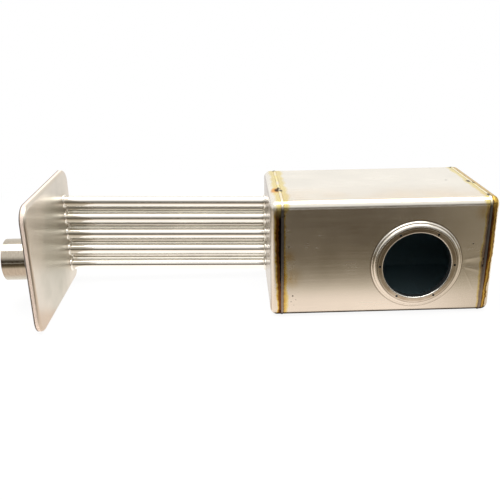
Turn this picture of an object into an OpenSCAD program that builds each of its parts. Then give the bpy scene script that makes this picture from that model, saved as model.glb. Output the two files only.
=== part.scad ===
// Tubular furnace heat exchanger.
// A folded steel firebox with a drawn burner port sends its flue gas through two staggered
// columns of straight tubes into a shallow collector, which lets it out at a round stub.
// X runs along the tubes towards the firebox, Y from the burner side to the back, Z up.
// The origin is the centre of the burner port, in the plane of its screw ring.

/* [Sheet metal] */
// Thickness of the firebox and collector sheet
sheet_t = 1.5; // [1:0.1:2]
// Clearance round a part that slips into another
fit_gap = 0.3; // [0.1:0.05:0.5]

/* [Firebox] */
// Length of the folded wrapper between its two end seams
firebox_l = 410; // [300:1:800]
// Depth from the burner side to the back
firebox_d = 266; // [200:1:400]
// Height from the underside to the top
firebox_h = 246; // [230:1:400]
// Outside radius of the long folded edges
fold_r = 17; // [16:1:30]
// Depth of the dished pan that takes the tubes
tube_pan_depth = 23.5; // [20:0.5:50]
// Depth of the dished pan at the closed end
end_pan_depth = 19.5; // [18:0.5:50]
// Outside radius of the pans' drawn rims
rim_r = 14; // [5:1:15]

/* [Burner port] */
// Diameter of the hole that the burner fires through
port_d = 138; // [100:1:150]
// Distance from the port's axis to the seam at the closed end
port_to_seam = 139.5; // [115:0.5:200]
// Flat strip between the port's drawn boss and the lower fold
boss_gap = 0.5; // [0.5:0.5:10]
// Length of the neck that is turned inwards round the hole
neck_l = 14; // [8:1:30]
// Radius of the bend between the neck and the screw ring
neck_bend_r = 3; // [2.5:0.1:3.5]
// Width of the flat ring that takes the burner's screws
screw_ring_w = 11.5; // [11:0.5:16]
// Width of the inner rounded shoulder round the screw ring
inner_step_w = 7; // [4:0.5:10]
// Height of the inner rounded shoulder
inner_step_h = 5; // [3:0.5:8]
// Width of the outer rounded shoulder that meets the burner side
outer_step_w = 4.5; // [3:0.5:10]
// Height of the outer rounded shoulder
outer_step_h = 4; // [3:0.5:8]
// Number of screw holes in the ring
screw_count = 6; // [4:1:8]
// Distance from the edge of the hole to the circle of the screw holes
screw_set = 6.5; // [6:0.5:8]
// Diameter of each screw hole
screw_hole_d = 4.8; // [3:0.1:5]

/* [Tubes] */
// Number of tubes in the front column, one more than in the rear column
tube_count = 5; // [3:1:5]
// Outside diameter of a tube
tube_d = 25.4; // [19:0.1:26]
// Wall of a tube
tube_wall = 1.2; // [0.8:0.1:2]
// Distance between the axes of two tubes in a column
tube_pitch = 38.1; // [36:0.1:38.5]
// Distance between the two columns of tubes
column_gap = 20.5; // [20:0.5:60]
// Clear length of the tubes between the collector and the firebox
tube_span = 454; // [300:1:900]
// Flat strip between the rear tubes' welds and the rim of the tube pan
tube_to_rim = 0.2; // [0.2:0.1:20]
// Height of the bundle's middle over the firebox's underside, at the firebox
bundle_above_base = 107.9; // [107:0.1:125]
// Fall of the tubes from the collector to the firebox
tube_fall = 11.2; // [0:0.1:14]
// Length of a tube that stands inside each tube sheet
tube_proud = 3; // [1:0.5:5]

/* [Collector] */
// Depth of the collector from front to back
collector_d = 325; // [300:1:500]
// Height of the collector
collector_h = 262.6; // [250:0.1:400]
// Length that the tube sheet's flange is bent back
flange_l = 12; // [10:0.5:30]
// Outside radius of the collector's corners
corner_r = 32; // [20:1:50]
// Outside radius of the flange bend
bend_r = 7; // [4:0.5:9]
// Distance from the collector's front edge to the raised middle of its cover
well_front_set = 75; // [30:1:90]
// Distance from the collector's back edge to the raised middle of its cover
well_back_set = 14; // [8:1:60]
// Distance from the collector's top and bottom to the raised middle of its cover
well_end_set = 24; // [8:1:40]
// Height of the raised middle of the cover
well_rise = 25; // [11:0.5:60]
// Corner radius of the raised middle
well_corner_r = 28; // [15:1:40]

/* [Flue stub] */
// Outside diameter of the flue stub
stub_d = 88.9; // [60:0.1:100]
// Wall of the flue stub
stub_wall = 1.5; // [1:0.1:3]
// Distance that the stub stands out of the collector's cover
stub_l = 66.7; // [30:0.1:200]
// Distance of the stub's axis below the collector's middle
stub_drop = 28.6; // [0:0.1:40]
// Length of the stub that stands inside the cover
stub_proud = 3; // [1:0.5:5]

/* [Welds] */
// Width of the seam welds
bead_w = 6; // [4:0.5:8]
// Height of the seam welds over the sheet
bead_h = 0.9; // [0.5:0.1:1.5]
// Leg of the weld round each tube
tube_weld = 3.6; // [2:0.1:4.5]
// Leg of the weld round the stub
stub_weld = 3.5; // [2:0.5:6]
// Width of the weld between the collector's flange and cover
edge_bead_w = 3.6; // [3:0.1:6]
// Height of the wrapper's closing seam over the firebox's underside
back_seam_z = 62; // [40:1:180]

/* [Hidden] */
$fn = 96;
// Length that a cut runs past what it cuts
past = 1;
// Overlap of two pieces of one solid
bite = 0.01;
// Depth inside the pipe's skin at which a pipe weld's round face starts
weld_root = 0.5;
// Depth to which the stub's weld has melted into the stub's skin
weld_melt = 0.5;
// Number of straight steps in each rounded shoulder of the port
shoulder_steps = 7;
port_r = port_d / 2;
screw_ring_r = port_r + screw_ring_w;
screw_circle_r = port_r + screw_set;
boss_r = screw_ring_r + inner_step_w + outer_step_w;
front_y = inner_step_h + outer_step_h;
back_y = front_y + firebox_d;
base_z = -(boss_r + boss_gap + fold_r);
end_seam_x = port_to_seam;
tube_seam_x = end_seam_x - firebox_l;
firebox_mid = [0, (front_y + back_y) / 2, base_z + firebox_h / 2];
firebox_face_x = tube_seam_x - tube_pan_depth;
collector_face_x = firebox_face_x - tube_span;
// The collector stands level with the firebox's seam welds
floor_z = base_z - bead_h;
collector_front_y = back_y - collector_d;
collector_mid = [0, back_y - collector_d / 2, floor_z + collector_h / 2];
flange_edge_x = collector_face_x - flange_l;
// Edges of the cover, which sits inside the flange
cover_set = sheet_t + fit_gap;
cover_w = collector_d - 2 * cover_set;
cover_h = collector_h - 2 * cover_set;
well_w = collector_d - well_front_set - well_back_set;
well_h = collector_h - 2 * well_end_set;
well_mid = [0, back_y - well_back_set - well_w / 2, collector_mid.z];
well_face_x = flange_edge_x - well_rise;
stub_r = stub_d / 2;
stub_at = [well_face_x, collector_mid.y, collector_mid.z - stub_drop];
tube_r = tube_d / 2;
rear_tube_y = back_y - rim_r - tube_to_rim - tube_weld - tube_r;
front_tube_y = rear_tube_y - column_gap;
bundle_z = base_z + bundle_above_base + tube_fall;
fall_angle = atan(tube_fall / tube_span);
tube_end = sheet_t + tube_proud;
tube_l = tube_span / cos(fall_angle) + 2 * tube_end;
// Y and Z of each tube's axis at the collector's outer face, from the top down
front_spots = [for (i = [1:tube_count])
    [front_tube_y, bundle_z + ((tube_count + 1) / 2 - i) * tube_pitch]];
rear_spots = [for (i = [1:tube_count - 1])
    [rear_tube_y, bundle_z + (tube_count / 2 - i) * tube_pitch]];
tube_spots = concat(front_spots, rear_spots);

// Points of a rounded shoulder that starts flat and ends steep
function shoulder(r, y, w, h) = [for (i = [0:shoulder_steps])
    let (a = 90 * i / shoulder_steps) [r + w * sin(a), y + h * (1 - cos(a))]];

// Quarter of a disc, from its centre towards +X and +Y
module quarter(r) {
    intersection() {
        circle(r);
        square(r);
    }
}

// Rounded rectangle about the origin
module rounded(w, h, r) {
    square([w - 2 * r, h], center = true);
    square([w, h - 2 * r], center = true);
    for (x = [-1, 1], y = [-1, 1])
        translate([x * (w / 2 - r), y * (h / 2 - r)]) circle(r);
}

// Upright section through a pan of width w, with both upper corners rounded
module pan_section(w, depth, rim) {
    translate([-w / 2, 0]) square([w, depth - rim]);
    translate([rim - w / 2, 0]) square([w - 2 * rim, depth]);
    for (x = [0, 1]) mirror([x, 0])
        translate([w / 2 - rim, depth - rim]) quarter(rim);
}

// Solid form of a drawn pan: corner radius r seen from above, rim radius along the edge
module pan_form(w, h, depth, r, rim) {
    for (x = [-1, 1], y = [-1, 1])
        translate([x * (w / 2 - r), y * (h / 2 - r), 0])
            rotate_extrude() {
                square([r, depth - rim]);
                square([r - rim, depth]);
                translate([r - rim, depth - rim]) quarter(rim);
            }
    rotate([90, 0, 0]) linear_extrude(h - 2 * r, center = true) pan_section(w, depth, rim);
    rotate([90, 0, 90]) linear_extrude(w - 2 * r, center = true) pan_section(h, depth, rim);
}

// Sheet metal pan, open at the plane of its edge
module pan_shell(w, h, depth, r, rim) {
    difference() {
        pan_form(w, h, depth, r, rim);
        translate([0, 0, -past])
            pan_form(w - 2 * sheet_t, h - 2 * sheet_t, depth - sheet_t + past,
                     r - sheet_t, rim - sheet_t);
    }
}

// Turns a pan's own axes so that its closed face looks along +X or -X
module facing(x, mid, side) {
    translate([x, mid.y, mid.z]) rotate([90, 0, 90]) mirror([0, 0, side < 0 ? 1 : 0]) children();
}

// Section of a weld bead: a flat-backed segment that stands out towards +X
module bead_section(w, h) {
    r = (w * w / 4 + h * h) / (2 * h);
    intersection() {
        translate([h - r, 0]) circle(r);
        translate([0, -w / 2]) square([h, w]);
    }
}

// Runs a section round a rounded rectangle: its own X points outwards from the edge
module around(w, h, r) {
    for (q = [0:3]) rotate([0, 0, 90 * q]) {
        a = q % 2 == 0 ? w : h;
        b = q % 2 == 0 ? h : w;
        translate([a / 2 - r, b / 2 - r, 0])
            rotate_extrude(angle = 90) translate([r, 0]) children();
        translate([a / 2, 0, 0]) rotate([90, 0, 0])
            linear_extrude(b - 2 * r, center = true) children();
    }
}

// Rounded weld round a pipe of radius r on a plate, before the pipe is cut out of it
module pipe_weld(r, leg) {
    rotate_extrude() {
        square([r - weld_root, leg + weld_root]);
        translate([r - weld_root, 0]) quarter(leg + weld_root);
    }
}

// Section of the stub's weld: a flat-faced fillet with its root in the stub's skin
module stub_weld_section() {
    polygon([[stub_r - weld_melt, 0], [stub_r + stub_weld, 0], [stub_r, stub_weld],
             [stub_r - weld_melt, stub_weld]]);
}

// Section through the drawn sheet of the burner port: radius along X, depth along Y
module port_section() {
    outer = concat([[port_r + neck_bend_r, 0]],
        shoulder(screw_ring_r, 0, inner_step_w, inner_step_h),
        shoulder(screw_ring_r + inner_step_w, inner_step_h, outer_step_w, outer_step_h));
    inner = [for (i = [len(outer) - 1:-1:0])
        outer[i] + (i == 0 ? [0, sheet_t] : [-sheet_t, sheet_t])];
    polygon(concat(outer, inner));
    translate([port_r, neck_bend_r]) square([sheet_t, neck_l - neck_bend_r]);
    translate([port_r + neck_bend_r, neck_bend_r]) rotate(180) difference() {
        quarter(neck_bend_r);
        circle(neck_bend_r - sheet_t);
    }
}

// Solid rod on the axis of one tube, from one inner end of the tube to the other
module tube_rod(spot, r, extra) {
    translate([collector_face_x, spot.x, spot.y]) rotate([0, 90 + fall_angle, 0])
        translate([0, 0, -tube_end - extra]) cylinder(r = r, h = tube_l + 2 * extra);
}

// Cuts for the tubes through a sheet whose outer face is at x
module tube_holes(x, drop) {
    for (spot = tube_spots)
        translate([x, spot.x, spot.y - drop]) rotate([0, 90, 0])
            cylinder(r = tube_r + fit_gap, h = 2 * (sheet_t + past), center = true);
}

// Folded sheet round the firebox, with the burner port drawn out of its front
module firebox_wrapper() {
    color([0.72, 0.68, 0.62]) {
        difference() {
            facing(tube_seam_x, firebox_mid, 1) linear_extrude(firebox_l) difference() {
                rounded(firebox_d, firebox_h, fold_r);
                rounded(firebox_d - 2 * sheet_t, firebox_h - 2 * sheet_t, fold_r - sheet_t);
            }
            rotate([-90, 0, 0]) cylinder(r = boss_r - sheet_t, h = front_y + sheet_t + past);
        }
        difference() {
            rotate([-90, 0, 0]) rotate_extrude() port_section();
            for (i = [0:screw_count - 1]) rotate([0, 360 * i / screw_count, 0])
                translate([screw_circle_r, -past, 0]) rotate([-90, 0, 0])
                    cylinder(d = screw_hole_d, h = sheet_t + 2 * past);
        }
    }
}

// Dished pan that closes the firebox and takes the tubes
module firebox_tube_pan() {
    color([0.80, 0.77, 0.70]) difference() {
        facing(tube_seam_x, firebox_mid, -1)
            pan_shell(firebox_d, firebox_h, tube_pan_depth, fold_r, rim_r);
        tube_holes(firebox_face_x, tube_fall);
    }
}

// Dished pan that closes the firebox's far end
module firebox_end_pan() {
    color([0.76, 0.70, 0.58]) facing(end_seam_x, firebox_mid, 1)
        pan_shell(firebox_d, firebox_h, end_pan_depth, fold_r, rim_r);
}

// Weld round the joint between the wrapper and one end pan
module pan_seam_weld(x) {
    color([0.45, 0.38, 0.33]) facing(x, firebox_mid, 1)
        around(firebox_d, firebox_h, fold_r) bead_section(bead_w, bead_h);
}

// Weld that closes the wrapper along the firebox's back
module wrapper_back_seam_weld() {
    color([0.45, 0.38, 0.33])
        translate([tube_seam_x + bead_w / 2, back_y, base_z + back_seam_z])
            rotate([90, 0, 90]) linear_extrude(firebox_l - bead_w) bead_section(bead_w, bead_h);
}

// Straight tube from the collector to the firebox
module flue_tube(spot) {
    color([0.90, 0.88, 0.84]) difference() {
        tube_rod(spot, tube_r, 0);
        tube_rod(spot, tube_r - tube_wall, past);
    }
}

// Weld rings round all the tubes on the outside of one tube sheet, run together where they meet
module tube_welds(x, drop, side) {
    color([0.86, 0.82, 0.74]) difference() {
        for (spot = tube_spots)
            translate([x, spot.x, spot.y - drop]) rotate([0, 90 * side, 0])
                pipe_weld(tube_r, tube_weld);
        for (spot = tube_spots) tube_rod(spot, tube_r, past);
    }
}

// Flanged tube sheet of the collector
module collector_tube_sheet() {
    color([0.70, 0.67, 0.60]) difference() {
        facing(flange_edge_x, collector_mid, 1)
            pan_shell(collector_d, collector_h, flange_l, corner_r, bend_r);
        tube_holes(collector_face_x, 0);
    }
}

// Cover that closes the collector inside its flange, with a raised middle for the stub
module collector_cover() {
    color([0.66, 0.64, 0.60]) difference() {
        union() {
            facing(flange_edge_x, collector_mid, 1) linear_extrude(sheet_t)
                rounded(cover_w, cover_h, corner_r - cover_set);
            facing(flange_edge_x + bite, well_mid, -1)
                pan_form(well_w, well_h, well_rise + bite, well_corner_r, bend_r);
        }
        facing(flange_edge_x + sheet_t + past, well_mid, -1)
            pan_form(well_w - 2 * sheet_t, well_h - 2 * sheet_t, well_rise + past,
                     well_corner_r - sheet_t, bend_r - sheet_t);
        translate(stub_at) rotate([0, 90, 0])
            cylinder(r = stub_r + fit_gap, h = 2 * (sheet_t + past), center = true);
    }
}

// Weld that lies along the joint between the tube sheet's flange and the cover
module collector_edge_weld() {
    color([0.50, 0.44, 0.38]) facing(flange_edge_x, collector_mid, -1)
        around(collector_d, collector_h, corner_r)
            translate([-edge_bead_w / 2, 0]) rotate(90) bead_section(edge_bead_w, bead_h);
}

// Round stub that takes the flue pipe, without the ring of skin that its weld has melted
module flue_stub() {
    stub_full_l = stub_l + sheet_t + stub_proud;
    color([0.82, 0.80, 0.76]) translate(stub_at - [stub_l, 0, 0]) rotate([0, 90, 0])
        difference() {
            cylinder(r = stub_r, h = stub_full_l);
            translate([0, 0, -past]) cylinder(r = stub_r - stub_wall, h = stub_full_l + 2 * past);
            translate([0, 0, stub_l - stub_weld]) rotate_extrude()
                translate([stub_r - weld_melt, 0]) square([weld_melt + past, stub_weld]);
        }
}

// Weld round the stub on the outside of the cover
module flue_stub_weld() {
    color([0.60, 0.50, 0.36]) translate(stub_at) rotate([0, -90, 0]) rotate_extrude()
        stub_weld_section();
}

firebox_wrapper();
firebox_tube_pan();
firebox_end_pan();
pan_seam_weld(tube_seam_x);  // tube_pan_seam_weld
pan_seam_weld(end_seam_x);  // end_pan_seam_weld
wrapper_back_seam_weld();
for (i = [1:tube_count])
    flue_tube(front_spots[i - 1]);
for (i = [1:tube_count - 1])
    flue_tube(rear_spots[i - 1]);
tube_welds(firebox_face_x, tube_fall, -1);  // firebox_tube_welds
tube_welds(collector_face_x, 0, 1);  // collector_tube_welds
collector_tube_sheet();
collector_cover();
collector_edge_weld();
flue_stub();
flue_stub_weld();
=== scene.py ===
"""Looks of the furnace heat exchanger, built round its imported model."""
import math

import bmesh
import bpy
from mathutils import Matrix, Vector


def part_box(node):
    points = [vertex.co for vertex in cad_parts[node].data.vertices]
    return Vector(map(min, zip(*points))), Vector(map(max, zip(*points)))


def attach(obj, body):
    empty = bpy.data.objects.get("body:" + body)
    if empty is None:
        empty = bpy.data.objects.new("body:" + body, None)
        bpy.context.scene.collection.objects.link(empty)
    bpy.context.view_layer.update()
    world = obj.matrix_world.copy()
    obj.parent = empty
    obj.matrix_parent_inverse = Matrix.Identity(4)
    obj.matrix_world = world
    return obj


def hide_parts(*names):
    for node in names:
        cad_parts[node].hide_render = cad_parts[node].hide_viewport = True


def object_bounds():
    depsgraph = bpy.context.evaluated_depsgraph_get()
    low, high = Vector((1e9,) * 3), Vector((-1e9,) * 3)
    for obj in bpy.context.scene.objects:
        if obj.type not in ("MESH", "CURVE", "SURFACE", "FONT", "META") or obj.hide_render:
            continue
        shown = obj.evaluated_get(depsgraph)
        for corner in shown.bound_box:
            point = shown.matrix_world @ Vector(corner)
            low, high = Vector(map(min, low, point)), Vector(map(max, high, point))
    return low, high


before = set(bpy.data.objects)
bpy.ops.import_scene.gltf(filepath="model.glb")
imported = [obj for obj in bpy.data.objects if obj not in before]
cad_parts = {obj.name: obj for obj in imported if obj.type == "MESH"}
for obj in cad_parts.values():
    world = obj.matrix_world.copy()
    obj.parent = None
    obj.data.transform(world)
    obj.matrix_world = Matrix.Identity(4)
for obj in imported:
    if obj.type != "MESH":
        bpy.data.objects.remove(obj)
cad_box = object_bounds()

# Places that the looks follow, in metres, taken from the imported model
WRAPPER_LOW, WRAPPER_HIGH = (Vector(corner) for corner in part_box("firebox_wrapper"))
PAN_LOW, PAN_HIGH = (Vector(corner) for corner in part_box("firebox_tube_pan"))
END_LOW, END_HIGH = (Vector(corner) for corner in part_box("firebox_end_pan"))
PLATE_LOW, PLATE_HIGH = (Vector(corner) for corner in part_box("collector_tube_sheet"))
COVER_LOW, COVER_HIGH = (Vector(corner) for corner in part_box("collector_cover"))
STUB_LOW, STUB_HIGH = (Vector(corner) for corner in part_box("flue_stub"))
FLOOR_Z = Vector(cad_box[0]).z
TUBE_SEAM_X = WRAPPER_LOW.x
END_SEAM_X = WRAPPER_HIGH.x
# The burner side lies behind the port's drawn boss by this much
BOSS_RISE = 0.009
MM = 0.001

# Camera fitted to the photograph
CAMERA_AT = Vector((-0.3627, -1.172, 0.4942))
CAMERA_YAW = math.radians(1.34)
CAMERA_PITCH = math.radians(21.04)
CAMERA_ROLL = math.radians(-0.94)
CAMERA_FOCAL_PIXELS = 637.8
PHOTO_WIDTH_PIXELS = 500
SENSOR_MM = 36


def srgb(red, green, blue):
    """Linear colour of a display colour given from 0 to 255."""
    def linear(value):
        value = value / 255
        return value / 12.92 if value <= 0.04045 else ((value + 0.055) / 1.055) ** 2.4
    return (linear(red), linear(green), linear(blue), 1)


def make_camera():
    forward = Vector((math.sin(CAMERA_YAW) * math.cos(CAMERA_PITCH),
                      math.cos(CAMERA_YAW) * math.cos(CAMERA_PITCH), -math.sin(CAMERA_PITCH)))
    level = Vector((math.cos(CAMERA_YAW), -math.sin(CAMERA_YAW), 0))
    upright = level.cross(forward)
    right = math.cos(CAMERA_ROLL) * level + math.sin(CAMERA_ROLL) * upright
    up = -math.sin(CAMERA_ROLL) * level + math.cos(CAMERA_ROLL) * upright
    data = bpy.data.cameras.new("camera")
    data.sensor_fit = "HORIZONTAL"
    data.sensor_width = SENSOR_MM
    data.lens = CAMERA_FOCAL_PIXELS / PHOTO_WIDTH_PIXELS * SENSOR_MM
    data.clip_start = 0.05
    data.clip_end = 60
    camera = bpy.data.objects.new("camera", data)
    bpy.context.scene.collection.objects.link(camera)
    turn = Matrix((right, up, -forward)).transposed()
    camera.matrix_world = Matrix.Translation(CAMERA_AT) @ turn.to_4x4()
    bpy.context.scene.camera = camera


class Tree:
    """A node tree with short calls for the nodes that the materials share."""

    def __init__(self, tree):
        self.tree = tree
        tree.nodes.clear()

    def node(self, kind, inputs=None, **settings):
        made = self.tree.nodes.new("ShaderNode" + kind)
        for name, value in settings.items():
            setattr(made, name, value)
        for name, value in (inputs or {}).items():
            if isinstance(value, bpy.types.NodeSocket):
                self.tree.links.new(value, made.inputs[name])
            else:
                made.inputs[name].default_value = value
        return made

    def math(self, operation, first, second=0.0, third=0.0, clamp=False):
        inputs = {0: first, 1: second, 2: third}
        return self.node("Math", inputs, operation=operation, use_clamp=clamp).outputs[0]

    def position(self):
        return self.node("TexCoord").outputs["Object"]

    def axes(self, vector):
        return self.node("SeparateXYZ", {0: vector}).outputs

    def stretched(self, scale):
        """Position in metres, scaled unequally along the axes."""
        inputs = {0: self.position(), 1: scale}
        return self.node("VectorMath", inputs, operation="MULTIPLY").outputs[0]

    def noise(self, vector, scale, detail=3.0, roughness=0.55, distortion=0.0):
        inputs = {"Vector": vector, "Scale": scale, "Detail": detail, "Roughness": roughness,
                  "Distortion": distortion}
        return self.node("TexNoise", inputs).outputs["Fac"]

    def fade(self, value, start, end, low=0.0, high=1.0):
        """Smooth step of a value: low at start, high at end."""
        inputs = {"Value": value, "From Min": start, "From Max": end, "To Min": low, "To Max": high}
        made = self.node("MapRange", inputs, interpolation_type="SMOOTHSTEP", clamp=True)
        return made.outputs["Result"]

    def ramp(self, value, stops):
        made = self.node("ValToRGB", {"Fac": value})
        points = made.color_ramp.elements
        while len(points) < len(stops):
            points.new(1.0)
        for point, (place, colour) in zip(points, stops):
            point.position = place
            point.color = colour
        return made.outputs["Color"]

    def mix(self, factor, first, second, blend="MIX"):
        made = self.node("Mix", data_type="RGBA", blend_type=blend)
        made.clamp_factor = True
        sockets = {"factor": made.inputs[0], "first": made.inputs[6], "second": made.inputs[7]}
        for name, value in (("factor", factor), ("first", first), ("second", second)):
            if isinstance(value, bpy.types.NodeSocket):
                self.tree.links.new(value, sockets[name])
            else:
                sockets[name].default_value = value
        return made.outputs[2]

    def near(self, centre, radius, soft=0.5, squash=(1, 1, 1)):
        """One inside a spot round a centre, zero outside it."""
        away = self.node("VectorMath", {0: self.position(), 1: centre}, operation="SUBTRACT")
        flat = self.node("VectorMath", {0: away.outputs[0], 1: squash}, operation="MULTIPLY")
        far = self.node("VectorMath", {0: flat.outputs[0]}, operation="LENGTH").outputs["Value"]
        return self.fade(far, radius * (1 - soft), radius, 1.0, 0.0)


# World and stage

ROOM_WHITE = (1.0, 0.985, 0.96, 1)
ROOM_DARK = srgb(70, 62, 50)
# Sine of the elevation up to which the camera's side of the room is dark
DARK_TOP = 0.36
DARK_EDGE = 0.24


def make_world():
    """White for the camera, and for the metal a room that is dark on the camera's side."""
    world = bpy.data.worlds.new("studio")
    world.use_nodes = True
    bpy.context.scene.world = world
    tree = Tree(world.node_tree)
    direction = tree.axes(tree.node("TexCoord").outputs["Generated"])
    low = tree.fade(direction["Z"], DARK_TOP - DARK_EDGE, DARK_TOP + DARK_EDGE, 1.0, 0.0)
    front = tree.fade(direction["Y"], -0.45, -0.05, 1.0, 0.0)
    dark = tree.math("MULTIPLY", low, front)
    room = tree.mix(dark, ROOM_WHITE, ROOM_DARK)
    rays = tree.node("LightPath").outputs
    colour = tree.mix(rays["Is Camera Ray"], room, (1, 1, 1, 1))
    background = tree.node("Background", {"Color": colour, "Strength": 1.0})
    output = tree.node("OutputWorld")
    tree.tree.links.new(background.outputs[0], output.inputs["Surface"])


def plane(name, low, high, height):
    """Flat level sheet between two corners."""
    mesh = bpy.data.meshes.new(name)
    corners = [(low[0], low[1], height), (high[0], low[1], height),
               (high[0], high[1], height), (low[0], high[1], height)]
    mesh.from_pydata(corners, [], [(0, 1, 2, 3)])
    made = bpy.data.objects.new(name, mesh)
    bpy.context.scene.collection.objects.link(made)
    return made


FLOOR_HALF = 20.0
# Share of the floor's look that is plain white near the object, where the rest takes its shadow
FLOOR_WHITE_SHARE = 0.92
FLOOR_MIDDLE = (-0.35, 0.1, 0)
SHADOW_NEAR = 0.7
SHADOW_FAR = 1.2


def make_floor():
    floor = plane("floor", (-FLOOR_HALF, -FLOOR_HALF), (FLOOR_HALF, FLOOR_HALF), FLOOR_Z - 0.2 * MM)
    material = bpy.data.materials.new("floor_white")
    material.use_nodes = True
    tree = Tree(material.node_tree)
    rays = tree.node("LightPath").outputs
    seen = tree.math("MAXIMUM", rays["Is Camera Ray"], rays["Is Glossy Ray"])
    seen = tree.math("MAXIMUM", seen, rays["Is Transmission Ray"])
    away = tree.node("VectorMath", {0: tree.position(), 1: FLOOR_MIDDLE}, operation="DISTANCE")
    plain = tree.fade(away.outputs["Value"], SHADOW_NEAR, SHADOW_FAR, FLOOR_WHITE_SHARE, 1.0)
    share = tree.math("MULTIPLY", seen, plain)
    matt = tree.node("BsdfDiffuse", {"Color": (0.95, 0.95, 0.95, 1)}).outputs[0]
    white = tree.node("Emission", {"Color": (1, 1, 1, 1), "Strength": 1.0}).outputs[0]
    both = tree.node("MixShader", {0: share, 1: matt, 2: white}).outputs[0]
    output = tree.node("OutputMaterial")
    tree.tree.links.new(both, output.inputs["Surface"])
    floor.data.materials.append(material)


# Painted reflection of the floor towards the camera, which only the metal sees: distance in front of the
# firebox, in metres, and colour
PAINTED_FLOOR_REFLECTION = [(0.0, (1.0, 0.87, 0.77, 1)), (0.085, (1.0, 0.87, 0.77, 1)),
              (0.125, srgb(226, 214, 199)), (0.16, srgb(182, 171, 153)), (0.2, srgb(140, 130, 111)),
              (0.26, srgb(118, 107, 89)), (0.34, srgb(101, 90, 74)), (0.5, srgb(88, 78, 64)),
              (0.9, srgb(90, 80, 65)), (1.6, srgb(108, 98, 81))]
# Painted light under the tubes, brighter than white, which the rear tubes show in their reflections
PAINTED_LIGHT_UNDER_TUBES = (1.15, 1.13, 1.1, 1)
# Painted shadow under the firebox, as its reflections show it
PAINTED_SHADOW_UNDER_FIREBOX = srgb(52, 42, 34)
# Painted reflection of pale floor, mixed in towards the right
PAINTED_PALE_REFLECTION = srgb(166, 154, 132)
CARD_NEAR_Y = 0.42
CARD_FAR_Y = -3.0


def make_floor_card():
    """Glowing sheet over the floor that only reflections see, a painted reflection: painted light under
    the tubes, painted shadow under the firebox, pale just in front of it and dark far off."""
    card = plane("floor_card", (-4.0, CARD_FAR_Y), (4.0, CARD_NEAR_Y), FLOOR_Z - 0.1 * MM)
    material = bpy.data.materials.new("floor_card")
    material.use_nodes = True
    tree = Tree(material.node_tree)
    place = tree.axes(tree.position())
    ahead = tree.math("SUBTRACT", BOSS_RISE, place["Y"])
    furthest = PAINTED_FLOOR_REFLECTION[-1][0]
    share = tree.math("DIVIDE", ahead, furthest, clamp=True)
    colour = tree.ramp(share, [(reach / furthest, shade) for reach, shade in PAINTED_FLOOR_REFLECTION])
    aside = tree.math("SUBTRACT", place["X"], tree.math("MULTIPLY", ahead, 0.35))
    colour = tree.mix(tree.fade(aside, -0.02, 0.14, 0.0, 0.45), colour, PAINTED_PALE_REFLECTION)
    bright = tree.fade(ahead, -0.03, -0.09)
    colour = tree.mix(bright, colour, PAINTED_LIGHT_UNDER_TUBES)
    # Painted shadow on the card over the firebox's footprint
    over = tree.fade(place["X"], PAN_LOW.x, PAN_LOW.x + 0.01)
    over = tree.math("MULTIPLY", over, tree.fade(place["X"], END_HIGH.x, END_HIGH.x + 0.01, 1.0, 0.0))
    over = tree.math("MULTIPLY", over, tree.fade(ahead, 0.002, -0.005))
    over = tree.math("MULTIPLY", over, tree.fade(place["Y"], WRAPPER_HIGH.y, WRAPPER_HIGH.y - 0.01))
    colour = tree.mix(over, colour, PAINTED_SHADOW_UNDER_FIREBOX)
    glow = tree.node("Emission", {"Color": colour, "Strength": 1.0})
    output = tree.node("OutputMaterial")
    tree.tree.links.new(glow.outputs[0], output.inputs["Surface"])
    card.data.materials.append(material)
    card.visible_camera = False
    card.visible_diffuse = False
    card.visible_shadow = False
    card.visible_transmission = False


def make_lamp(name, at, target, size, watts, colour=(1, 1, 1)):
    data = bpy.data.lights.new(name, "AREA")
    data.shape = "RECTANGLE"
    data.size, data.size_y = size
    data.energy = watts
    data.color = colour
    lamp = bpy.data.objects.new(name, data)
    bpy.context.scene.collection.objects.link(lamp)
    lamp.location = at
    lamp.rotation_euler = (Vector(target) - Vector(at)).to_track_quat("-Z", "Y").to_euler()


# Metals

STEEL = srgb(240, 235, 225)
TINT_STRAW = srgb(250, 236, 168)
TINT_GOLD = srgb(226, 192, 98)
TINT_BROWN = srgb(128, 84, 44)
TINT_GREY = srgb(176, 160, 150)
TINT_GLOW = srgb(214, 146, 58)
SCORCH = srgb(40, 30, 26)
WARM_CAST = srgb(252, 243, 232)
SOOT = srgb(112, 136, 144)
# Near black in the port's neck: soot, darkened further as painted shade where the neck is lit
NECK_SOOT_AND_PAINTED_SHADE = srgb(22, 27, 29)
PIT = srgb(70, 60, 50)
CLEAR = (1, 1, 1, 1)

# Tint beside a weld, from the bead outwards: share of the tint's width, and colour
TINT_AT_PAN = [(0.0, SCORCH), (0.4, SCORCH), (0.48, TINT_BROWN), (0.7, TINT_BROWN),
               (0.82, TINT_GOLD), (0.92, TINT_STRAW), (1.0, CLEAR)]
TINT_AT_SHEET = [(0.0, SCORCH), (0.22, TINT_BROWN), (0.34, TINT_BROWN), (0.48, TINT_GOLD),
                 (0.75, TINT_STRAW), (1.0, CLEAR)]
TINT_ON_TOP = [(0.0, TINT_GOLD), (0.12, TINT_GOLD), (0.25, TINT_STRAW), (0.6, TINT_STRAW),
               (1.0, CLEAR)]
TINT_AT_END = [(0.0, SCORCH), (0.26, TINT_BROWN), (0.36, TINT_GREY), (0.56, TINT_GREY),
               (0.75, TINT_STRAW), (1.0, CLEAR)]
TINT_AT_END_PAN = [(0.0, SCORCH), (0.2, SCORCH), (0.3, TINT_BROWN), (0.46, TINT_BROWN),
                   (0.56, TINT_GOLD), (0.68, TINT_GOLD), (0.78, TINT_BROWN), (0.84, SCORCH),
                   (0.9, TINT_GOLD), (1.0, CLEAR)]
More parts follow.
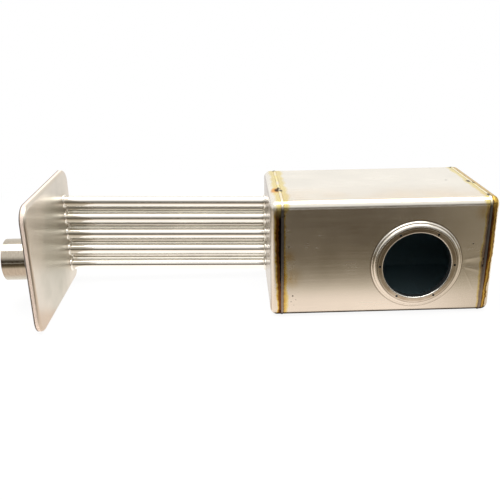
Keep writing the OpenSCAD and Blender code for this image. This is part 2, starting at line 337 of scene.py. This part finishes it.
TINT_ON_END_TOP = [(0.0, SCORCH), (0.22, TINT_BROWN), (0.3, TINT_GOLD), (0.55, TINT_GOLD),
                   (0.66, TINT_BROWN), (0.76, TINT_GOLD), (0.9, TINT_STRAW), (1.0, CLEAR)]
# Low on the firebox the colours lie nearer to the bead by this share of the tint's width
LOW_SHIFT = 0.28
LOW_FROM, LOW_TO = 0.02, -0.07
HIGH_TO = 0.05


def metal(name, roughness, grain, dress_up=(), bump=0.06, colour=STEEL, streaky=0.05):
    """Metal with drawn grain along one axis and smudges, and each layer of dress_up over it.

    A layer takes the tree and the colour, roughness and metallic sockets, and returns them."""
    material = bpy.data.materials.new(name)
    material.use_nodes = True
    tree = Tree(material.node_tree)
    streaks = tree.noise(tree.stretched(grain), 1.0, detail=4.0)
    cloud = tree.noise(tree.position(), 9.0, detail=4.0)
    fine = tree.noise(tree.position(), 420.0, detail=2.0)
    shade = tree.math("MULTIPLY", tree.fade(cloud, 0.3, 0.7, 0.95, 1.02),
                      tree.fade(streaks, 0.3, 0.7, 1 - streaky, 1 + streaky))
    base = tree.node("HueSaturation", {"Value": shade, "Color": colour}).outputs[0]
    rough = tree.math("ADD", tree.fade(streaks, 0.3, 0.7, -0.02, 0.02), roughness)
    rough = tree.math("ADD", rough, tree.fade(cloud, 0.35, 0.7, 0.0, 0.05))
    metallic = 1.0
    for layer in dress_up:
        base, rough, metallic = layer(tree, base, rough, metallic)
    height = tree.math("ADD", tree.math("MULTIPLY", streaks, 0.7), tree.math("MULTIPLY", fine, 0.3))
    raised = tree.node("Bump", {"Strength": bump, "Distance": 0.1 * MM, "Height": height})
    shader = tree.node("BsdfPrincipled", {"Base Color": base, "Roughness": rough,
                                          "Metallic": metallic, "Normal": raised.outputs[0]})
    output = tree.node("OutputMaterial")
    tree.tree.links.new(shader.outputs[0], output.inputs["Surface"])
    return material


# Heights between which the front's tint turns into the top's, which is paler
TOP_FROM = 0.1
TOP_TO = 0.13


def pink_top(tree, base, rough, metallic):
    """Faint warm cast on the top near the front fold."""
    place = tree.axes(tree.position())
    cloud = tree.noise(tree.position(), 7.0, detail=3.0)
    here = tree.math("MULTIPLY", tree.fade(place["Z"], 0.132, 0.136),
                     tree.fade(place["Y"], 0.13, 0.03))
    here = tree.math("MULTIPLY", here, tree.fade(cloud, 0.3, 0.6, 0.3, 1.0))
    return tree.mix(here, base, tree.mix(1.0, base, WARM_CAST, "MULTIPLY")), rough, metallic


def tint(seam, side, width, stops, on_top=TINT_ON_TOP, high_share=1.0):
    """Heat tint on one side of a seam at the given X: side is -1 or 1. High on the front it is
    narrower by high_share."""
    def layer(tree, base, rough, metallic):
        x = tree.axes(tree.position())["X"]
        wander = tree.noise(tree.stretched((20, 28, 28)), 1.0, detail=4.0)
        blotch = tree.noise(tree.stretched((120, 160, 160)), 1.0, detail=4.0)
        distance = tree.math("MULTIPLY", tree.math("SUBTRACT", x, seam), side)
        reach = tree.math("MULTIPLY", tree.fade(wander, 0.3, 0.7, 0.82, 1.18), width)
        share = tree.math("DIVIDE", distance, reach)
        share = tree.math("ADD", share, tree.fade(blotch, 0.3, 0.7, -0.05, 0.05))
        z = tree.axes(tree.position())["Z"]
        top = tree.fade(z, TOP_FROM, TOP_TO)
        narrow = tree.math("MAXIMUM", top, tree.fade(z, HIGH_TO, LOW_TO, high_share, 1.0))
        share = tree.math("DIVIDE", share, narrow)
        share = tree.math("ADD", share, tree.fade(z, LOW_FROM, LOW_TO, 0.0, LOW_SHIFT))
        colour = tree.mix(top, tree.ramp(share, stops), tree.ramp(share, on_top))
        here = tree.math("GREATER_THAN", distance, -0.5 * MM)
        tinted = tree.mix(1.0, base, colour, "MULTIPLY")
        return tree.mix(here, base, tinted), rough, metallic
    return layer


def inside_of(tree, centre):
    """One where the surface faces the given centre, which is the inside of a shell round it."""
    geometry = tree.node("NewGeometry").outputs
    out = tree.node("VectorMath", {0: tree.position(), 1: centre}, operation="SUBTRACT").outputs[0]
    facing = tree.node("VectorMath", {0: out, 1: geometry["True Normal"]}, operation="DOT_PRODUCT")
    return tree.math("LESS_THAN", facing.outputs["Value"], -1 * MM)


def sooted(tree, inside, base, rough, metallic):
    return (tree.mix(inside, base, SOOT), tree.math("MAXIMUM", rough, inside),
            tree.math("SUBTRACT", metallic, inside, clamp=True))


def soot(centre):
    """Soot on the inside of a shell round the given centre."""
    def layer(tree, base, rough, metallic):
        return sooted(tree, inside_of(tree, centre), base, rough, metallic)
    return layer


def spots(places, colour, amount=0.9, squash=(1, 1, 1)):
    """Small marks at the given centres, each with its radius, in metres."""
    def layer(tree, base, rough, metallic):
        for centre, radius in places:
            mark = tree.near(centre, radius, 0.7, squash)
            mark = tree.math("MULTIPLY", mark, amount)
            base = tree.mix(mark, base, colour)
            rough = tree.math("ADD", rough, tree.math("MULTIPLY", mark, 0.2))
        return base, rough, metallic
    return layer


def clouds(places, colour, amount):
    """Soft tint round the given centres, each with its radius, in metres."""
    def layer(tree, base, rough, metallic):
        patch = tree.noise(tree.stretched((45, 45, 25)), 1.0, detail=4.0)
        for centre, radius in places:
            here = tree.math("MULTIPLY", tree.near(centre, radius, 1.0), amount)
            here = tree.math("MULTIPLY", here, tree.fade(patch, 0.3, 0.6, 0.3, 1.0))
            base = tree.mix(here, base, tree.mix(1.0, base, colour, "MULTIPLY"))
        return base, rough, metallic
    return layer


def port_ring_and_painted_shade(tree, base, rough, metallic):
    """Grey ring round the port, and painted shade along the foot of its boss and of its inner step."""
    place = tree.axes(tree.position())
    flat = tree.node("CombineXYZ", {"X": place["X"], "Y": 0.0, "Z": place["Z"]}).outputs[0]
    radius = tree.node("VectorMath", {0: flat}, operation="LENGTH").outputs["Value"]
    patch = tree.noise(tree.stretched((30, 30, 30)), 1.0, detail=3.0)
    front = tree.math("LESS_THAN", place["Y"], BOSS_RISE + 0.3 * MM)
    for middle, half, colour, amount in PORT_RINGS_AND_SHADE:
        away = tree.math("ABSOLUTE", tree.math("SUBTRACT", radius, middle * MM))
        ring = tree.math("MULTIPLY", tree.fade(away, half * MM, 0.4 * half * MM, 0.0, amount), front)
        ring = tree.math("MULTIPLY", ring, tree.fade(patch, 0.3, 0.6, 0.6, 1.0))
        base = tree.mix(ring, base, tree.mix(1.0, base, colour, "MULTIPLY"))
    return base, rough, metallic


def bead_edges(seam):
    """Bead at the given X: pale with thin dark edges on top, dull grey with dark edges below."""
    def layer(tree, base, rough, metallic):
        place = tree.axes(tree.position())
        off = tree.math("ABSOLUTE", tree.math("SUBTRACT", place["X"], seam))
        patch = tree.noise(tree.stretched((40, 40, 40)), 1.0, detail=3.0)
        high = tree.fade(place["Z"], 0.118, 0.132)
        low = tree.fade(place["Z"], LOW_FROM, LOW_TO)
        base = tree.mix(low, base, BEAD_LOW)
        base = tree.mix(high, base, tree.ramp(patch, [(0.4, BEAD_PALE), (0.62, TINT_STRAW)]))
        edge = tree.fade(off, 1.9 * MM, 2.9 * MM, 0.0, 0.9)
        broken = tree.mix(high, (1, 1, 1, 1), tree.fade(patch, 0.4, 0.55, 0.45, 1.0))
        return tree.mix(tree.math("MULTIPLY", edge, broken), base, SCORCH), rough, metallic
    return layer


def pan_face(tree, base, rough, metallic):
    """Darker colour on the flat face that takes the tubes."""
    x = tree.axes(tree.position())["X"]
    return tree.mix(tree.fade(x, PAN_LOW.x + 3 * MM, PAN_LOW.x + 1 * MM), base, PAN_FACE), rough, metallic


def flange_highlight_and_shade(tree, base, rough, metallic):
    """Painted highlight in pale matt metal on the collector's bent edge, and painted shade as a dark line
    along its free edge.
    """
    x = tree.axes(tree.position())["X"]
    past_bend = tree.fade(x, PLATE_HIGH.x - 3 * MM, PLATE_HIGH.x - 6 * MM)
    on_sheet = tree.math("GREATER_THAN", x, PLATE_LOW.x - 0.5 * MM)
    edge = tree.math("MULTIPLY", past_bend, on_sheet)
    base = tree.mix(edge, base, FLANGE_PAINTED_HIGHLIGHT)
    rough = tree.math("ADD", rough, tree.math("MULTIPLY", edge, 0.25))
    metallic = tree.math("SUBTRACT", metallic, tree.math("MULTIPLY", edge, 0.6))
    rim = tree.fade(x, PLATE_LOW.x + 2.6 * MM, PLATE_LOW.x + 1.4 * MM, 0.0, 0.9)
    return tree.mix(tree.math("MULTIPLY", rim, on_sheet), base, FLANGE_RIM_PAINTED_SHADE), rough, metallic


def plate_middle(tree, base, rough, metallic):
    """Darker colour in the middle of the tall plate, over its lower part and towards its front."""
    away = tree.node("VectorMath", {0: tree.position(), 1: PLATE_CENTRE}, operation="DISTANCE")
    cloud = tree.noise(tree.position(), 12.0, detail=3.0)
    far = tree.math("ADD", away.outputs["Value"], tree.fade(cloud, 0.3, 0.7, -0.02, 0.02))
    return tree.mix(tree.fade(far, 0.06, 0.17, 0.9, 0.0), base, PLATE_MIDDLE), rough, metallic


def near_rings(places, radius, reach, colour, amount):
    """Tint round pipes along X, whose axes run through the given Y and Z."""
    def layer(tree, base, rough, metallic):
        at = tree.axes(tree.position())
        blotch = tree.noise(tree.stretched((60, 60, 60)), 1.0, detail=3.0)
        for y, z in places:
            flat = tree.node("CombineXYZ", {"X": 0.0, "Y": at["Y"], "Z": at["Z"]}).outputs[0]
            away = tree.node("VectorMath", {0: flat, 1: (0, y, z)}, operation="DISTANCE")
            ring = tree.fade(away.outputs["Value"], radius, radius + reach, 1.0, 0.0)
            ring = tree.math("MULTIPLY", ring, tree.fade(blotch, 0.35, 0.65, 0.4 * amount, amount))
            base = tree.mix(ring, base, tree.mix(1.0, base, colour, "MULTIPLY"))
        return base, rough, metallic
    return layer


def paint(node, material):
    """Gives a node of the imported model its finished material."""
    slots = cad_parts[node].data.materials
    slots.clear()
    slots.append(material)


# Marks that the photograph shows, in millimetres, with their radii
FRONT_Y = BOSS_RISE / MM
TOP_Z = WRAPPER_HIGH.z / MM
SHEET_PITS = [((111.5, FRONT_Y, 41.4), 2.2), ((-249.3, FRONT_Y, -63.3), 2.4),
              ((-252.5, FRONT_Y, -76.0), 1.4), ((-243.0, FRONT_Y, -72.0), 1.2),
              ((-257.6, FRONT_Y, 44.1), 2.0), ((91.3, 146.8, TOP_Z), 3.0),
              ((-247.0, FRONT_Y, -84.0), 1.0)]
SHEET_BURNS = [((137.1, FRONT_Y, 7.8), 4.2), ((136.7, FRONT_Y, -6.6), 4.6),
               ((-267.5, FRONT_Y, 108.0), 3.4), ((-266.5, FRONT_Y, -106.0), 3.6),
               ((139.0, FRONT_Y, -98.0), 4.0)]
PAN_BURNS = [((-274.5, FRONT_Y, -97.0), 3.6), ((-276.0, FRONT_Y, -106.0), 5.5)]
# Marks on the top are longer along Y, by the share in TOP_SQUASH
TOP_BURNS = [((-276.0, 96.0, TOP_Z), 7.5), ((-272.0, 108.0, TOP_Z), 5.0), ((-268.0, 92.0, TOP_Z), 5.0),
             ((-272.0, 262.0, TOP_Z), 6.0), ((134.5, 134.4, TOP_Z), 5.5), ((141.0, 120.0, TOP_Z), 4.0),
             ((136.0, 262.0, TOP_Z), 6.0), ((139.5, 30.0, TOP_Z), 5.0)]
TOP_GLOWS = [((-283.0, 96.0, TOP_Z), 9.0), ((-277.0, 96.0, TOP_Z), 12.0)]
TOP_SQUASH = (1, 0.45, 1)
SHEET_CLOUDS = [((-256.0, FRONT_Y, -22.0), 34.0), ((-260.0, FRONT_Y, 22.0), 22.0),
                ((130.0, FRONT_Y, 108.0), 26.0)]
# Rings round the port: radius, half width, colour, amount; the rings at 80.5 and 92.6 are painted shade
# at the foot of the inner step and of the boss
PORT_RINGS_AND_SHADE = [(75.0, 4.5, srgb(196, 184, 170), 0.9), (80.5, 1.6, srgb(150, 136, 120), 0.7),
              (92.6, 2.0, srgb(120, 106, 90), 0.45)]
BEAD_PITS = [((-270.5, FRONT_Y, 107.0), 2.6), ((-271.5, FRONT_Y, -102.0), 3.0)]
TUBE_TOP_PITS = [((-342.0, 211.5, 65.0), 2.6)]


def in_metres(marks):
    return [(tuple(value * MM for value in centre), radius * MM) for centre, radius in marks]


GRAIN_ALONG_X = (6, 300, 300)
GRAIN_UPRIGHT = (300, 300, 6)
FIREBOX_MIDDLE = (WRAPPER_LOW + WRAPPER_HIGH) / 2
FRONT_COLUMN_Y, REAR_COLUMN_Y = 224.0, 244.5
BUNDLE_Z, PITCH = 9.6, 38.1
TUBE_PLACES = ([(FRONT_COLUMN_Y * MM, (BUNDLE_Z + (2 - i) * PITCH) * MM) for i in range(5)]
               + [(REAR_COLUMN_Y * MM, (BUNDLE_Z + (1.5 - i) * PITCH) * MM) for i in range(4)])
TUBE_OUTSIDE = 12.7 * MM
PLATE_CENTRE = (PLATE_HIGH.x, 0.12, 0.02)


def dress():
    sheet = metal("firebox_sheet", 0.22, GRAIN_ALONG_X, streaky=0.02, dress_up=[
        tint(TUBE_SEAM_X, 1, 17 * MM, TINT_AT_SHEET, high_share=0.38),
        tint(END_SEAM_X, -1, 14 * MM, TINT_AT_END, high_share=0.8),
        pink_top, clouds(in_metres(SHEET_CLOUDS), TINT_GOLD, 0.6), port_ring_and_painted_shade,
        spots(in_metres(SHEET_PITS), PIT), spots(in_metres(SHEET_BURNS), SCORCH, 0.9),
        spots(in_metres(TOP_BURNS), SCORCH, 0.95, TOP_SQUASH), wrapper_soot_and_neck_shade])
    paint("firebox_wrapper", sheet)
    make_dented_sheet(sheet)
    tube_pan = metal("tube_pan_sheet", 0.25, GRAIN_UPRIGHT, [
        pan_face, tint(TUBE_SEAM_X, -1, 15.5 * MM, TINT_AT_PAN),
        spots(in_metres(TOP_GLOWS), TINT_GLOW, 0.7, TOP_SQUASH),
        spots(in_metres(PAN_BURNS), SCORCH, 0.9), spots(in_metres(TOP_BURNS), SCORCH, 0.95, TOP_SQUASH),
        soot(FIREBOX_MIDDLE)])
    paint("firebox_tube_pan", tube_pan)
    end_pan = metal("end_pan_sheet", 0.27, GRAIN_UPRIGHT, [
        tint(END_SEAM_X, 1, 15.5 * MM, TINT_AT_END_PAN, TINT_ON_END_TOP),
        spots(in_metres(TOP_BURNS), SCORCH, 0.95, TOP_SQUASH),
        soot(FIREBOX_MIDDLE)])
    paint("firebox_end_pan", end_pan)
    plate = metal("collector_sheet", 0.32, GRAIN_UPRIGHT, colour=PLATE_STEEL, dress_up=[
        plate_middle, flange_highlight_and_shade,
        near_rings(TUBE_PLACES, TUBE_OUTSIDE + 3 * MM, 9 * MM, TINT_STRAW, 0.12)], streaky=0.02)
    paint("collector_tube_sheet", plate)
    paint("collector_cover", metal("cover_sheet", 0.3, GRAIN_UPRIGHT, colour=PLATE_STEEL, streaky=0.02))
    tube = metal("tube", 0.05, GRAIN_ALONG_X, [spots(in_metres(TUBE_TOP_PITS), PIT, 0.8)],
                 bump=0.03, colour=TUBE_STEEL, streaky=0.02)
    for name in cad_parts:
        if name.startswith(("front_tube", "rear_tube")):
            paint(name, tube)
    paint("flue_stub", metal("flue_stub_metal", 0.14, GRAIN_UPRIGHT, colour=STUB_STEEL, streaky=0.05))
    bead = metal("seam_weld", 0.36, GRAIN_UPRIGHT, bump=0.3, colour=BEAD_GREY)
    for name in ("wrapper_back_seam_weld", "collector_edge_weld", "flue_stub_weld"):
        paint(name, bead)
    for name, node, seam, phase in (
            ("tube_pan_seam_bead", "tube_pan_seam_weld", TUBE_SEAM_X, 0.4),
            ("end_pan_seam_bead", "end_pan_seam_weld", END_SEAM_X, 2.1)):
        rippled = metal(name, 0.34, GRAIN_UPRIGHT, [
            bead_edges(seam), spots(in_metres(TOP_BURNS), SCORCH, 0.9, TOP_SQUASH),
            spots(in_metres(BEAD_PITS), PIT)], bump=0.2, colour=BEAD_GREY)
        paint(node, rippled)
        make_bead(name, node, seam / MM, phase, rippled)
    ring = metal("tube_weld", 0.22, GRAIN_UPRIGHT, bump=0.2)
    paint("firebox_tube_welds", ring)
    paint("collector_tube_welds", ring)


BEAD_GREY = srgb(116, 114, 116)
BEAD_LOW = srgb(158, 147, 139)
BEAD_PALE = srgb(246, 236, 214)
PAN_FACE = srgb(186, 175, 164)
PLATE_STEEL = srgb(216, 206, 192)
PLATE_MIDDLE = srgb(178, 172, 156)
STUB_STEEL = srgb(192, 183, 168)
TUBE_STEEL = srgb(250, 247, 240)
# Painted highlight on the collector's flange, and painted shade along its free edge
FLANGE_PAINTED_HIGHLIGHT = srgb(232, 214, 200)
FLANGE_RIM_PAINTED_SHADE = srgb(84, 74, 66)
NECK_SOOT_Y = 2.5 * MM
PORT_INSIDE_R = 71.5 * MM
NECK_END_Y = 40 * MM


def wrapper_soot_and_neck_shade(tree, base, rough, metallic):
    """Soot inside the folded sheet, and in the port's neck from just behind its bend, where soot and
    painted shade make it near black.
    """
    place = tree.axes(tree.position())
    behind = tree.math("GREATER_THAN", place["Y"], NECK_SOOT_Y)
    inside = tree.math("MULTIPLY", inside_of(tree, FIREBOX_MIDDLE), behind)
    flat = tree.node("CombineXYZ", {"X": place["X"], "Y": 0.0, "Z": place["Z"]}).outputs[0]
    radius = tree.node("VectorMath", {0: flat}, operation="LENGTH").outputs["Value"]
    neck = tree.math("MULTIPLY", tree.math("LESS_THAN", radius, PORT_INSIDE_R),
                     tree.fade(place["Y"], NECK_SOOT_Y - 1 * MM, NECK_SOOT_Y))
    neck = tree.math("MULTIPLY", neck, tree.math("LESS_THAN", place["Y"], NECK_END_Y))
    base, rough, metallic = sooted(tree, tree.math("MAXIMUM", inside, neck), base, rough, metallic)
    # Painted shade: the neck is painted near black
    return tree.mix(neck, base, NECK_SOOT_AND_PAINTED_SHADE), rough, metallic


# Shapes

def smooth(value, start, end):
    """Smooth step in Python, as Tree.fade is in a material."""
    share = min(max((value - start) / (end - start), 0.0), 1.0)
    return share * share * (3 - 2 * share)


def add_piece(name, mesh, node, material):
    """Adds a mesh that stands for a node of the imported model."""
    piece = bpy.data.objects.new(name, mesh)
    bpy.context.scene.collection.objects.link(piece)
    mesh.materials.clear()
    mesh.materials.append(material)
    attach(piece, "root")
    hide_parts(node)
    return piece


# The dent beside the port, in millimetres
DENT_X = (91.0, 139.0)
DENT_Z = (-68.0, 30.0)
DENT_STEP = 1.6
DENT_DEPTH = 0.6
RIDGE_RISE = 0.26
CREASE = [(94.0, -8.0), (108.9, -33.2), (122.3, -60.5)]
CREASE_RISE = 0.18
CREASE_HALF = 1.4
SHARP_ANGLE = math.radians(28)


def dent_at(x, z):
    """Distance that the front sheet is pushed in at a place, in millimetres."""
    along = (x - 93) / 40
    middle = 0.2 - 2.2 * along
    half = 6.5 + 7.7 * along
    over = (z - middle) / half
    reach = smooth(x, 92.5, 106) * (1 - smooth(x, 123, 138))
    pushed = DENT_DEPTH * max(0.0, 1 - over * over) ** 2
    pushed -= RIDGE_RISE * math.exp(-((abs(over) - 1.12) / 0.24) ** 2)
    crease = 0.0
    for (x0, z0), (x1, z1) in zip(CREASE, CREASE[1:]):
        length = (x1 - x0) ** 2 + (z1 - z0) ** 2
        share = min(max(((x - x0) * (x1 - x0) + (z - z0) * (z1 - z0)) / length, 0.0), 1.0)
        away = math.hypot(x - x0 - share * (x1 - x0), z - z0 - share * (z1 - z0))
        crease = max(crease, math.exp(-(away / CREASE_HALF) ** 2))
    ends = smooth(x, 94, 100) * (1 - smooth(z, -12, -6)) * smooth(z, -62, -54)
    return reach * pushed - CREASE_RISE * crease * ends


def make_dented_sheet(material):
    """Copy of the folded sheet, cut finely beside the port and pushed in there."""
    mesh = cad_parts["firebox_wrapper"].data.copy()
    mesh.name = "firebox_sheet_dented"
    shape = bmesh.new()
    shape.from_mesh(mesh)
    bmesh.ops.remove_doubles(shape, verts=shape.verts, dist=1e-6)
    outer, inner = BOSS_RISE, BOSS_RISE + 1.5 * MM

    def on_front(point):
        return min(abs(point.y - outer), abs(point.y - inner)) < 0.05 * MM

    def crosses(face):
        xs = [vert.co.x / MM for vert in face.verts]
        zs = [vert.co.z / MM for vert in face.verts]
        return (max(xs) > DENT_X[0] and min(xs) < DENT_X[1] and max(zs) > DENT_Z[0]
                and min(zs) < DENT_Z[1] and all(on_front(vert.co) for vert in face.verts))

    for axis, (start, end) in ((0, DENT_X), (2, DENT_Z)):
        normal = Vector((0, 0, 0))
        normal[axis] = 1
        steps = round((end - start) / DENT_STEP)
        for i in range(steps + 1):
            faces = [face for face in shape.faces if crosses(face)]
            edges = {edge for face in faces for edge in face.edges}
            verts = {vert for face in faces for vert in face.verts}
            at = normal * (start + (end - start) * i / steps) * MM
            bmesh.ops.bisect_plane(shape, geom=faces + list(edges) + list(verts), dist=1e-6,
                                   plane_co=at, plane_no=normal)
    for vert in shape.verts:
        x, z = vert.co.x / MM, vert.co.z / MM
        if on_front(vert.co) and DENT_X[0] <= x <= DENT_X[1] and DENT_Z[0] <= z <= DENT_Z[1]:
            vert.co.y += dent_at(x, z) * MM
    bmesh.ops.triangulate(shape, faces=[face for face in shape.faces if len(face.verts) > 4])
    shape.normal_update()
    for face in shape.faces:
        face.smooth = True
    for edge in shape.edges:
        edge.smooth = len(edge.link_faces) == 2 and edge.calc_face_angle(0) < SHARP_ANGLE
    shape.to_mesh(mesh)
    shape.free()
    piece = add_piece("firebox_sheet_dented", mesh, "firebox_wrapper", material)
    weighted = piece.modifiers.new("even_shading", "WEIGHTED_NORMAL")
    weighted.keep_sharp = True


# Seam beads, in millimetres
BEAD_WIDTH = 6.0
BEAD_HEIGHT = 0.9
BEAD_STEP = 0.8
RIPPLE_LENGTH = 2.6
RIPPLE_SHARE = 0.3
RIPPLE_BOW = 1.4
BEAD_POINTS = 10


def seam_path(y_low, y_high, z_low, z_high, radius, step):
    """Places and outward directions along a rounded rectangle."""
    corners = [(y_high - radius, z_high - radius, 0), (y_low + radius, z_high - radius, 90),
               (y_low + radius, z_low + radius, 180), (y_high - radius, z_low + radius, 270)]
    path = []
    for i, (y, z, turn) in enumerate(corners):
        steps = round(radius * math.pi / 2 / step)
        for j in range(steps + 1):
            angle = math.radians(turn + 90 * j / steps)
            path.append((y + radius * math.cos(angle), z + radius * math.sin(angle),
                         math.cos(angle), math.sin(angle)))
        last = path[-1]
        y, z, turn = corners[(i + 1) % 4]
        angle = math.radians(turn)
        goal = (y + radius * math.cos(angle), z + radius * math.sin(angle))
        length = math.hypot(goal[0] - last[0], goal[1] - last[1])
        steps = round(length / step)
        for j in range(1, steps):
            share = j / steps
            path.append((last[0] + (goal[0] - last[0]) * share,
                         last[1] + (goal[1] - last[1]) * share, last[2], last[3]))
    return path


def make_bead(name, node, seam, phase, material):
    """Weld bead round the firebox, with the ripples that its pool left."""
    low, high = WRAPPER_LOW / MM, WRAPPER_HIGH / MM
    path = seam_path(low.y + BOSS_RISE / MM, high.y, low.z, high.z, FOLD_RADIUS, BEAD_STEP)
    arc = (BEAD_WIDTH ** 2 / 4 + BEAD_HEIGHT ** 2) / (2 * BEAD_HEIGHT)
    points, faces = [], []
    run = 0.0
    for i, (y, z, out_y, out_z) in enumerate(path):
        if i:
            run += math.hypot(y - path[i - 1][0], z - path[i - 1][1])
        swell = 0.5 + 0.5 * math.sin(run * 0.09 + phase) * math.sin(run * 0.031 + 2 * phase)
        width = BEAD_WIDTH * (0.86 + 0.14 * swell)
        for j in range(BEAD_POINTS):
            across = 2 * j / (BEAD_POINTS - 1) - 1
            rise = math.sqrt(arc ** 2 - (across * BEAD_WIDTH / 2) ** 2) - (arc - BEAD_HEIGHT)
            wave = (run + RIPPLE_BOW * across * across) / RIPPLE_LENGTH + 0.15 * math.sin(run * 0.4)
            wave = wave - math.floor(wave)
            rise *= 1 - RIPPLE_SHARE * (1 - wave) ** 2 - 0.08 * (1 - swell)
            points.append(((seam + across * width / 2) * MM, (y + out_y * rise) * MM,
                           (z + out_z * rise) * MM))
        points.append((seam * MM, y * MM, z * MM))
    ring = BEAD_POINTS + 1
    for i in range(len(path)):
        after = (i + 1) % len(path)
        for j in range(ring):
            k = (j + 1) % ring
            faces.append((i * ring + j, i * ring + k, after * ring + k, after * ring + j))
    mesh = bpy.data.meshes.new(name)
    mesh.from_pydata(points, [], faces)
    shape = bmesh.new()
    shape.from_mesh(mesh)
    bmesh.ops.recalc_face_normals(shape, faces=shape.faces)
    for face in shape.faces:
        face.smooth = True
    shape.to_mesh(mesh)
    shape.free()
    add_piece(name, mesh, node, material)


FOLD_RADIUS = 17.0

make_camera()
make_world()
make_floor()
make_floor_card()
make_lamp("overhead", (-0.3, 0.1, 2.2), (-0.3, 0.1, 0), (3.0, 1.6), 60)
dress()

bpy.context.scene.view_settings.view_transform = "Standard"
